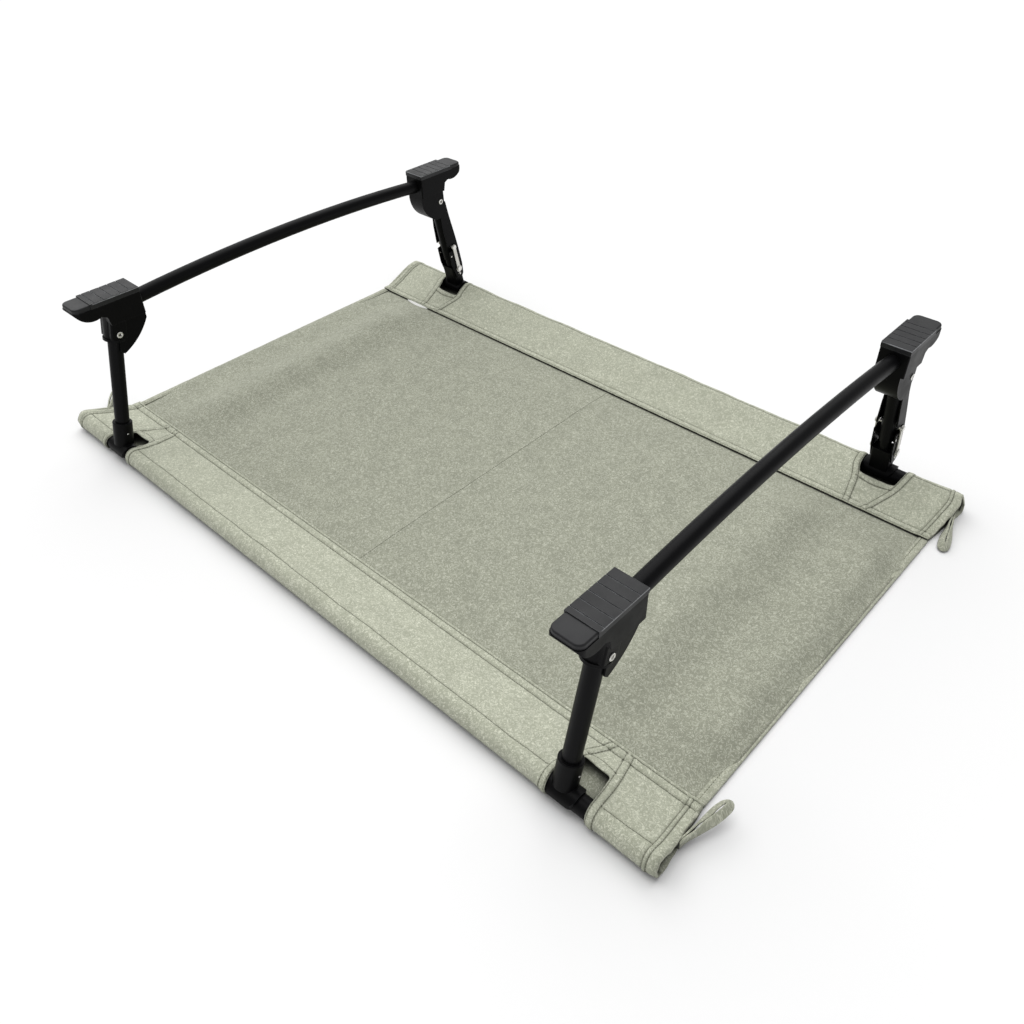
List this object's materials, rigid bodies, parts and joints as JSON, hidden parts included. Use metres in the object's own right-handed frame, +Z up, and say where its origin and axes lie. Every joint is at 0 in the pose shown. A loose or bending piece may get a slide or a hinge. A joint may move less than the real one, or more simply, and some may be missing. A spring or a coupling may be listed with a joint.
{
  "type": "elevated dog bed",
  "caption": "Raised cloth dog bed on side poles with clip-on bowed leg frames and lever locks, lying upside down, legs up.",
  "frame": {"origin": "on the floor under the middle of the cloth deck; the bed lies upside down on its sleeping face with its feet in the air", "axes": "+X along the bed from the left leg frame to the right one, +Y across it towards the legs with levers, +Z up towards the foot soles; turn it 180 degrees about X to stand it on its feet"},
  "size_m": [0.9264, 0.5914, 0.205],
  "materials": {
    "sling_cloth": "sage green woven polyester, matt, fine pale fleck",
    "sleeve_cloth": "sage green woven polyester, matt, fine pale fleck",
    "hem_cloth": "sage green woven polyester, folded and stitched",
    "tag_cloth": "white woven satin, blank",
    "pole_tube": "black anodised aluminium tube, satin",
    "ferrule_alloy": "plain drawn aluminium",
    "hard_plastic": "black glass-filled nylon, satin",
    "sole_rubber": "charcoal rubber, matt",
    "shock_cord": "black braided elastic cord",
    "lever_steel": "black powder-coated sheet, satin",
    "link_steel": "stamped stainless steel",
    "rivet_steel": "plated steel"
  },
  "bodies": {
    "deck": {"sling_panel": "sling_cloth", "near_sleeve": "sleeve_cloth", "far_sleeve": "sleeve_cloth", "left_end_hem": "hem_cloth", "right_end_hem": "hem_cloth", "near_left_pull_loop": "hem_cloth", "near_right_pull_loop": "hem_cloth", "far_right_pull_loop": "hem_cloth", "blank_tag": "tag_cloth", "near_pole_left_section": "pole_tube", "near_pole_middle_section": "pole_tube", "near_pole_right_section": "pole_tube", "near_pole_ferrules": "ferrule_alloy", "near_pole_end_caps": "hard_plastic", "near_pole_shock_cord": "shock_cord", "far_pole_left_section": "pole_tube", "far_pole_middle_section": "pole_tube", "far_pole_right_section": "pole_tube", "far_pole_ferrules": "ferrule_alloy", "far_pole_end_caps": "hard_plastic", "far_pole_shock_cord": "shock_cord"},
    "left_leg_frame": {"left_near_hub": "hard_plastic", "left_near_sole": "sole_rubber", "left_near_hub_rivet": "rivet_steel", "left_far_hub": "hard_plastic", "left_far_sole": "sole_rubber", "left_far_hub_rivet": "rivet_steel", "left_bow_pole": "pole_tube", "left_near_leg_tube": "pole_tube", "left_near_clip": "hard_plastic", "left_near_clip_pin": "rivet_steel", "left_far_leg_tube": "pole_tube", "left_link_pin": "rivet_steel"},
    "left_far_clip": {"left_far_clip": "hard_plastic", "left_lever_pin": "rivet_steel"},
    "left_lever": {"left_lever": "lever_steel", "left_lever_rivets": "rivet_steel", "left_lever_studs": "rivet_steel"},
    "left_lever_links": {"left_lever_links": "link_steel"},
    "right_leg_frame": {"right_near_hub": "hard_plastic", "right_near_sole": "sole_rubber", "right_near_hub_rivet": "rivet_steel", "right_far_hub": "hard_plastic", "right_far_sole": "sole_rubber", "right_far_hub_rivet": "rivet_steel", "right_bow_pole": "pole_tube", "right_near_leg_tube": "pole_tube", "right_near_clip": "hard_plastic", "right_near_clip_pin": "rivet_steel", "right_far_leg_tube": "pole_tube", "right_link_pin": "rivet_steel"},
    "right_far_clip": {"right_far_clip": "hard_plastic", "right_lever_pin": "rivet_steel"},
    "right_lever": {"right_lever": "lever_steel", "right_lever_rivets": "rivet_steel", "right_lever_studs": "rivet_steel"},
    "right_lever_links": {"right_lever_links": "link_steel"}
  },
  "joints": [
    {"name": "left_frame_lift", "type": "slide", "parent": "deck", "child": "left_leg_frame", "axis": [0, 0, 1], "range_m": [0, 0.06]},
    {"name": "left_clip_travel", "type": "slide", "parent": "left_leg_frame", "child": "left_far_clip", "axis": [0, -0.2249, 0.9744], "range_m": [0, 0.00773]},
    {"name": "left_lever_swing", "type": "hinge", "parent": "left_far_clip", "child": "left_lever", "pos_m": [-0.349, 0.27988, 0.03746], "axis": [-1, 0, 0], "range_deg": [0, 75]},
    {"name": "left_link_swing", "type": "hinge", "parent": "left_leg_frame", "child": "left_lever_links", "pos_m": [-0.349, 0.26931, 0.08325], "axis": [1, 0, 0], "range_deg": [0, 13.27]},
    {"name": "right_frame_lift", "type": "slide", "parent": "deck", "child": "right_leg_frame", "axis": [0, 0, 1], "range_m": [0, 0.06]},
    {"name": "right_clip_travel", "type": "slide", "parent": "right_leg_frame", "child": "right_far_clip", "axis": [0, -0.2249, 0.9744], "range_m": [0, 0.00773]},
    {"name": "right_lever_swing", "type": "hinge", "parent": "right_far_clip", "child": "right_lever", "pos_m": [0.349, 0.27988, 0.03746], "axis": [-1, 0, 0], "range_deg": [0, 75]},
    {"name": "right_link_swing", "type": "hinge", "parent": "right_leg_frame", "child": "right_lever_links", "pos_m": [0.349, 0.26931, 0.08325], "axis": [1, 0, 0], "range_deg": [0, 13.27]}
  ],
  "couplings": [
    {"joint": "left_clip_travel", "follows": "left_lever_swing", "m_per_rad": 0.0058659},
    {"joint": "left_link_swing", "follows": "left_lever_swing", "ratio": 0.17633},
    {"joint": "right_clip_travel", "follows": "right_lever_swing", "m_per_rad": 0.0058659},
    {"joint": "right_link_swing", "follows": "right_lever_swing", "ratio": 0.17633}
  ]
}
